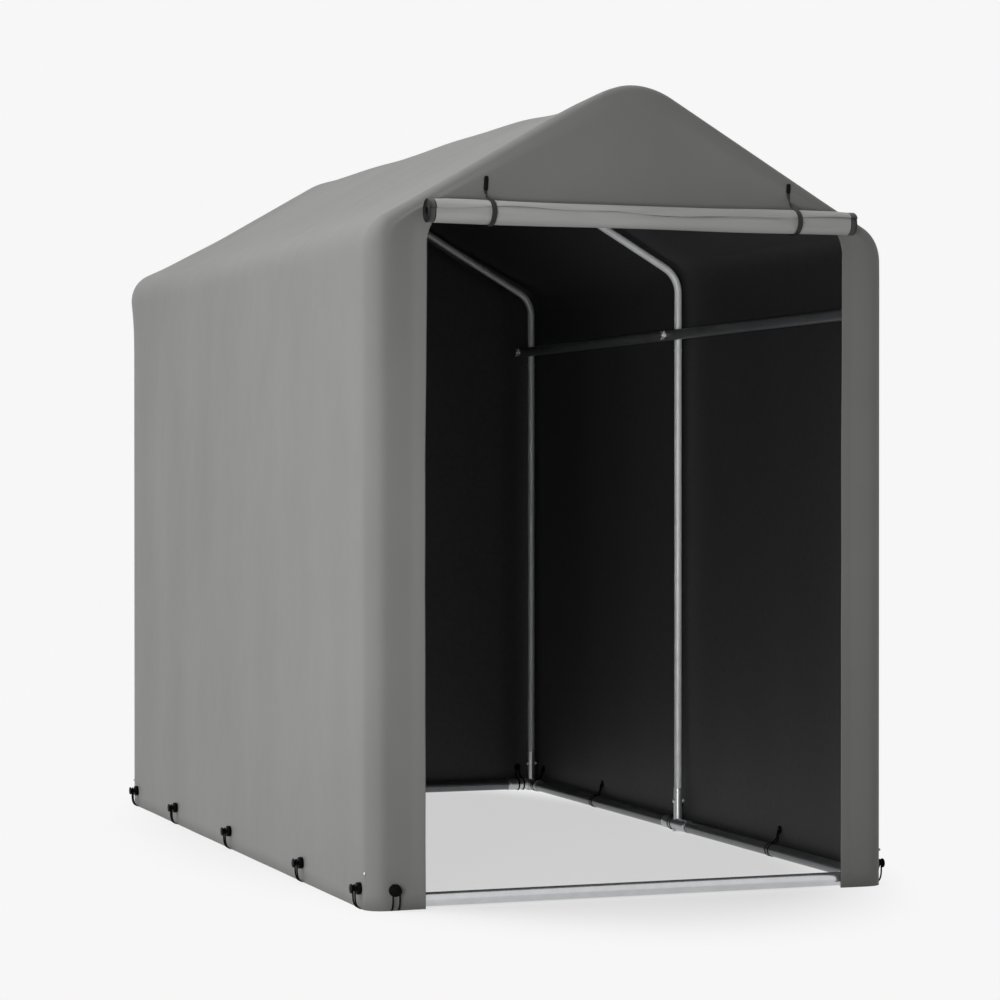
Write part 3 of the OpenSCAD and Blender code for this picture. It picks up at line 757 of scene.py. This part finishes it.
def cordPath(inset, held):
    # One elastic loop, from the eyelet inside the cover over the rail, round its inner side
    # and under it on an arc, out under the hem, up to the button's neck, round that on a
    # half circle and back the same way on the other strand. The fourth number is how far
    # the cord is pressed flat.
    radius = held + tie["flat"] / 2 + 0.0002
    strand = tie["neck"] + tie["cord"] / 2 + 0.0001
    angle = np.radians(np.linspace(80, 270, 20))
    arc = np.stack([-inset + radius * np.cos(angle), 0 * angle, railZ + radius * np.sin(angle),
                    np.interp(angle, [math.radians(80), math.radians(150)], [0.4, 1])], 1)
    bottom = arc[-1, 2]
    top, out, eyelet = tie["buttonHeight"], tie["neckOut"], tie["eyeletHeight"]
    inside = [[-0.0045, -0.003, eyelet, 0], [-0.0075, -0.0045, eyelet - 0.003, 0],
              [-0.010, -0.006, railZ + radius + 0.010, 0.1]]
    outside = [[-0.012, 0, bottom, 1], [-0.004, 0, bottom + 0.0001, 1],
               [0.0010, 0, bottom + 0.0004, 1], [0.0055, 0, 0.0030, 0.5],
               [0.0105, 0, 0.0075, 0], [0.0145, 0, 0.0150, 0],
               [out - 0.0002, 0, 0.026, 0], [out, 0, top - 0.008, 0]]
    strands = np.concatenate([arc, outside])
    strands[:, 1] = -strand
    half = np.radians(np.linspace(180, 90, 7))
    neck = np.stack([out + 0 * half, strand * np.cos(half), top + strand * np.sin(half),
                     0 * half], 1)
    one = np.concatenate([inside, strands, neck])
    other = one[::-1][1:] * [1, -1, 1, 1]
    return np.concatenate([one, other])


def makeCord(place):
    # one loop: a round cord carried along its path, pressed flat under the rail, whose side
    # direction turns from along the cloth to outwards as it goes round the button's neck
    path = smoothPath(cordPath(*place[3:]), 150, 2)
    pressed = path[:, 3]
    angle = np.linspace(0, 2 * math.pi, 12, endpoint=False)
    circle = np.stack([np.cos(angle), np.sin(angle)], 1) * tie["cord"] / 2
    neck = np.exp(-(path[:, 1:2] / 0.004) ** 2)
    side = (1 - neck) * [0, 1.0, 0] + neck * [1.0, 0, 0]
    grid = carried(path[:, :3], side, circle, 1 + 0.15 * pressed,
                   1 - (1 - tie["flat"] / tie["cord"]) * pressed)
    grid = placed(closedEnds(grid), place)
    return grid[:, ::-1] if mirrors(place) else grid


def makeTies():
    # a button has a thick base, a narrow neck and a domed cap with a rim
    button = lathe([(0, 0.4), (14.5, 0.4), (15, 1.2), (15, 9), (14.4, 10.4), (13, 11),
                    (7.2, 11.2), (6.5, 12), (6.5, 21.2), (7.2, 22), (10.8, 22.1), (11.6, 22.8),
                    (11.6, 25), (11, 25.8), (10, 25.9), (9.5, 25.5), (8.6, 25.9), (6, 26.6),
                    (3, 27), (0, 27)], 36)
    eyelet = lathe([(0, -5.5), (10, -5.5), (11, -4.5), (11, -3.1), (0, -3.1)], 24)
    for name, group in tiePlaces().items():
        buttons = onCloth(button, tie["buttonHeight"], group)
        piece = merged(patches(name + "TieButtons", buttons, [buttonPlastic], closedU=True))
        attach(piece, "root")
        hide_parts(name + "_tie_buttons")
        cords = [makeCord(place) for place in group]
        piece = merged(patches(name + "TieLoops", cords, [elasticCord], closedV=True))
        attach(piece, "root")
        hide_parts(name + "_tie_loops")
        eyes = onCloth(eyelet, tie["eyeletHeight"], group)
        piece = merged(patches(name + "TieEyelets", eyes, [buttonPlastic], closedU=True))
        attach(piece, "root")


makeTies()
print("ties made")


# bolts, wing nuts and screws

fixing = {
    "boltHeight": 0.088,
    "screwSpacing": 0.076,
    "screwLift": 0.004,     # height of the screws above the rails' middle
    "tipFront": 0.0886,     # heights of the screw tips that show through the side walls
    "tipBack": 0.079,
    "tipSink": 0.0004,
    "socketGap": 0.0005,    # how far the bolts start outside the uprights
    "wingReach": 0.0178,
    "wingSection": (0.0042, 0.0030),
    "capLap": 1.5,          # in millimetres: how far a cap's flange laps over its rail's end
}


def setAt(place, grid, axis):
    # a lathed shape along +x, turned to run along another axis without mirroring, at a place
    axis = np.array(axis, float)
    other = np.array([0, 0, 1.0]) if abs(axis[2]) < 0.5 else np.array([0, 1.0, 0])
    third = np.cross(axis, other)
    turned = grid[..., :1] * axis + grid[..., 1:2] * other + grid[..., 2:] * third
    return turned + np.array(place)


def makeWingNuts():
    # hub and bolt end turned on a lathe, and two crossed bars, each carried along a parabola
    # that rises towards its rounded tips
    hub = lathe([(0, -1), (6.6, -1), (6.6, 1.2), (5.8, 4.2), (5, 6), (3.2, 6.4), (3, 6.8),
                 (3, 12.5), (2.4, 13.2), (0, 13.2)], 24)
    t = np.linspace(-1, 1, 32)
    path = np.stack([0.0060 + 0.0035 * t ** 2, fixing["wingReach"] * t, 0 * t], 1)
    width = 0.45 + 0.55 * (1 - np.abs(t) ** 6)
    section = roundedBar(*fixing["wingSection"], 12)
    bar = closedEnds(carried(path, np.tile([1.0, 0, 0], (32, 1)), section, width,
                             np.sqrt(width)))
    bars = []
    for angle in (math.pi / 4, -math.pi / 4):
        c, s = math.cos(angle), math.sin(angle)
        bars.append(np.stack([bar[..., 0], c * bar[..., 1] - s * bar[..., 2],
                              s * bar[..., 1] + c * bar[..., 2]], -1))
    hubs, wings = [], []
    sideZ = (sideRailLow[2] + sideRailHigh[2]) / 2
    for y in archYs:
        for place, axis in (((sideRailLow[0], y, sideZ), (-1, 0, 0)),
                            ((-sideRailLow[0], y, sideZ), (1, 0, 0)),
                            ((0, y, ridgeRailLow[2]), (0, 0, -1))):
            hubs.append(setAt(place, hub, axis))
            wings += [setAt(place, one, axis) for one in bars]
    first = merged(patches("wingNutHubs", hubs, [zincPlate], closedU=True))
    second = merged(patches("wingNutWings", wings, [zincPlate], closedV=True))
    for piece in (first, second):
        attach(piece, "root")
        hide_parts("wing_bolts")


def makeBoltsAndScrews():
    # domed heads turned on a lathe: a bolt's head and nut on either side of every upright's
    # socket, small screws along the sleeves, and tips that show through the side walls
    head = lathe([(0, -1.5), (5.8, -1.5), (6, 0.4), (5.6, 2.2), (4, 3.8), (1.8, 4.5), (0, 4.6)],
                 24)
    nut = lathe([(0, -1.5), (5.5, -1.5), (5.5, 3.8), (4.9, 4.4), (3.1, 4.5), (3, 7.5),
                 (2.2, 8.3), (0, 8.3)], 24)
    screw = lathe([(0, -1), (3.4, -1), (3.5, 0.6), (2.8, 1.8), (1.2, 2.2), (0, 2.2)], 20)
    socket = (uprightHigh[0] - uprightLow[0]) / 2 + fixing["socketGap"]
    screwZ = railZ + fixing["screwLift"]
    heads, nuts, screws = [], [], []
    for sign in (-1, 1):
        x = sign * archX
        for y in archYs:
            heads.append(setAt((x - socket, y, fixing["boltHeight"]), head, (-1, 0, 0)))
            nuts.append(setAt((x + socket, y, fixing["boltHeight"]), nut, (1, 0, 0)))
            for along in (y - fixing["screwSpacing"], y + fixing["screwSpacing"]):
                if frontY < along < backY:
                    place = (sign * (archX - sleeveRadius), along, screwZ)
                    screws.append(setAt(place, screw, (-sign, 0, 0)))
        for y, inward, tipZ in ((archYs[0], 1, fixing["tipFront"]),
                                (archYs[2], -1, fixing["tipBack"])):
            place = (sign * (archX - fixing["screwSpacing"]), y + inward * sleeveRadius, screwZ)
            screws.append(setAt(place, screw, (0, inward, 0)))
            place = (sign * (halfWidth - fixing["tipSink"]), y, tipZ)
            screws.append(setAt(place, screw, (sign, 0, 0)))
    for name, grids in (("socketBoltHeads", heads), ("socketBoltNuts", nuts),
                        ("sleeveScrews", screws)):
        piece = merged(patches(name, grids, [zincPlate], closedU=True))
        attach(piece, "root")


def makeRailCaps():
    # plugs turned on a lathe, in the ends of the side and ridge rails: a flange with a
    # slight dome
    radius = (sideRailHigh[0] - sideRailLow[0]) / 2 * 1000
    inner = radius - fixing["capLap"]
    cap = lathe([(0, -4), (inner, -4), (inner + 0.1, 0), (radius, 0.2), (radius, 1.8),
                 (radius - 1, 2.6), (radius * 0.6, 3.2), (0, 3.5)])
    sideMiddle, ridgeMiddle = (sideRailLow + sideRailHigh) / 2, (ridgeRailLow + ridgeRailHigh) / 2
    caps = []
    for middle, low, high in ((sideMiddle, sideRailLow, sideRailHigh),
                              (sideMiddle * [-1, 1, 1], sideRailLow, sideRailHigh),
                              (ridgeMiddle, ridgeRailLow, ridgeRailHigh)):
        for y, sign in ((low[1], -1), (high[1], 1)):
            caps.append(setAt((middle[0], y, middle[2]), cap, (0, sign, 0)))
    piece = merged(patches("railEndCaps", caps, [buttonPlastic], closedU=True))
    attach(piece, "root")


makeWingNuts()
makeBoltsAndScrews()
makeRailCaps()
print("fixings made")


# finishes of the steel frame

def dress():
    # each CAD node that stays takes the steel whose endings its name has, the first one first; the
    # rails take the darker copy, which paints shade on them, and the sill and the tubes take the
    # paler copies, which paint light on them
    finishes = [(("_fitting", "_crown"), fittingSteel), (("_upright", "_rafter"), tubeSteelPaintedLight),
                ("_sill_rail", sillSteelPaintedLight), (("_rail", "_rails"), railSteelPaintedShade)]
    for name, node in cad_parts.items():
        finish = next((steel for endings, steel in finishes if name.endswith(endings)), None)
        if finish is not None:
            node.data.materials.clear()
            node.data.materials.append(finish)


dress()
print("frame dressed")


# floor, lamps, world and camera

studio = {
    "backColour": "#f7f7f7",
    "bounceColour": "#cacaca",
    "litColour": "#fdfdfd",
    "floorHalf": 40.0,
    "shadowShare": 0.36,    # how much of the floor's look is lit and shadowed
    "shadowOval": (1.9, 0.9, 1.0),      # the distances it fades at are stretched by these
    "shadowFade": (1.3, 1.9),
    "sky": 0.168,
    "sun": 1.48,
    "sunAngle": 46.0,
    "sunTowards": (-0.81, 0.31, 1.22),
    # soft boxes: power in watts, side in metres, spread in degrees, place, and the point
    # each is aimed at
    "boxes": [("keyBox", 66.0, 2.6, 180.0, (-4.2, -1.3, 3.6), (-0.3, -0.3, 1.0)),
              ("lowFill", 13.0, 1.6, 44.0, (-3.6, -6.2, 0.5), (0.5, 0.9, 0.9))],
}


def seenRays(tree):
    # 1 where the ray is one that shows the studio itself: camera, glossy or transmission
    path = addNode(tree, "ShaderNodeLightPath")
    seen = addNode(tree, "ShaderNodeMath", {"operation": "MAXIMUM"}, links={
        0: path.outputs["Is Camera Ray"], 1: path.outputs["Is Glossy Ray"]})
    return addNode(tree, "ShaderNodeMath", {"operation": "MAXIMUM"}, links={
        0: seen.outputs[0], 1: path.outputs["Is Transmission Ray"]}).outputs[0]


def makeFloor():
    half = studio["floorHalf"]
    mesh = bpy.data.meshes.new("studioFloor")
    mesh.from_pydata([(-half, -half, 0), (half, -half, 0), (half, half, 0), (-half, half, 0)],
                     [], [(0, 1, 2, 3)])
    material, tree, shader, place = newMaterial("studioFloorPaint", {
        "Base Color": linear(studio["bounceColour"]), "Roughness": 1.0,
        "Specular IOR Level": 0.0})
    # what is seen of it fades from the shadowed paint near the object to the plain backdrop
    oval = addNode(tree, "ShaderNodeVectorMath", {"operation": "MULTIPLY"},
                   {1: studio["shadowOval"]}, {0: place})
    away = addNode(tree, "ShaderNodeVectorMath", {"operation": "LENGTH"},
                   links={0: oval.outputs["Vector"]})
    near = addNode(tree, "ShaderNodeMapRange", {"interpolation_type": "SMOOTHSTEP"}, {
        "From Min": studio["shadowFade"][0], "From Max": studio["shadowFade"][1],
        "To Min": studio["shadowShare"], "To Max": 0.0}, {"Value": away.outputs["Value"]})
    plain = addNode(tree, "ShaderNodeEmission", values={"Color": linear(studio["backColour"])})
    lit = addNode(tree, "ShaderNodeBsdfDiffuse", values={"Color": linear(studio["litColour"])})
    shown = addNode(tree, "ShaderNodeMixShader", links={
        "Fac": near.outputs["Result"], 1: plain.outputs[0], 2: lit.outputs[0]})
    both = addNode(tree, "ShaderNodeMixShader", links={
        "Fac": seenRays(tree), 1: shader.outputs[0], 2: shown.outputs[0]})
    output = next(node for node in tree.nodes if node.type == "OUTPUT_MATERIAL")
    tree.links.new(both.outputs[0], output.inputs["Surface"])
    finishObject("studioFloor", mesh, [material], False)


def addLamp(name, kind, power):
    lamp = bpy.data.lights.new(name, kind)
    lamp.energy = power
    thing = bpy.data.objects.new(name, lamp)
    bpy.context.scene.collection.objects.link(thing)
    return thing, lamp


def makeLight():
    world = bpy.data.worlds.new("studioWorld")
    bpy.context.scene.world = world
    world.use_nodes = True
    tree = world.node_tree
    tree.nodes.clear()
    # the pale backdrop where it is seen, and a dim even sky for the light on the object
    seen = seenRays(tree)
    dim = addNode(tree, "ShaderNodeBackground", values={
        "Color": (1, 1, 1, 1), "Strength": studio["sky"]})
    plain = addNode(tree, "ShaderNodeBackground", values={
        "Color": linear(studio["backColour"]), "Strength": 1.0})
    back = addNode(tree, "ShaderNodeMixShader", links={
        "Fac": seen, 1: dim.outputs[0], 2: plain.outputs[0]})
    addNode(tree, "ShaderNodeOutputWorld", links={"Surface": back.outputs[0]})
    thing, lamp = addLamp("softKey", "SUN", studio["sun"])
    lamp.angle = math.radians(studio["sunAngle"])
    towards = Vector(studio["sunTowards"]).normalized()
    tilt = math.acos(towards[2])
    thing.rotation_euler = Euler((0, tilt, math.atan2(towards[1], towards[0])), "XYZ")
    for name, power, size, spread, place, aim in studio["boxes"]:
        thing, lamp = addLamp(name, "AREA", power)
        lamp.size = size
        lamp.spread = math.radians(spread)
        thing.location = place
        thing.rotation_euler = (Vector(aim) - Vector(place)).to_track_quat("-Z", "Y").to_euler()


view = {
    "lens": 106.76,
    "sensor": 36.0,
    "place": (-2.787, -6.7563, 1.030),      # x, distance in y from the front face, z
    "dip": 0.372,           # how far it looks down, and to the right, in degrees
    "turn": 19.81,
}


def makeCamera():
    camera = bpy.data.cameras.new("camera")
    camera.sensor_width = view["sensor"]
    camera.lens = view["lens"]
    camera.clip_end = 200
    thing = bpy.data.objects.new("camera", camera)
    x, y, z = view["place"]
    thing.location = (x, frontY + y, z)
    thing.rotation_euler = (math.radians(90 - view["dip"]), 0, math.radians(-view["turn"]))
    bpy.context.scene.collection.objects.link(thing)
    bpy.context.scene.camera = thing


makeFloor()
makeLight()
makeCamera()
bpy.context.scene.view_settings.view_transform = "Standard"
print("studio made")

bpy.context.view_layer.update()
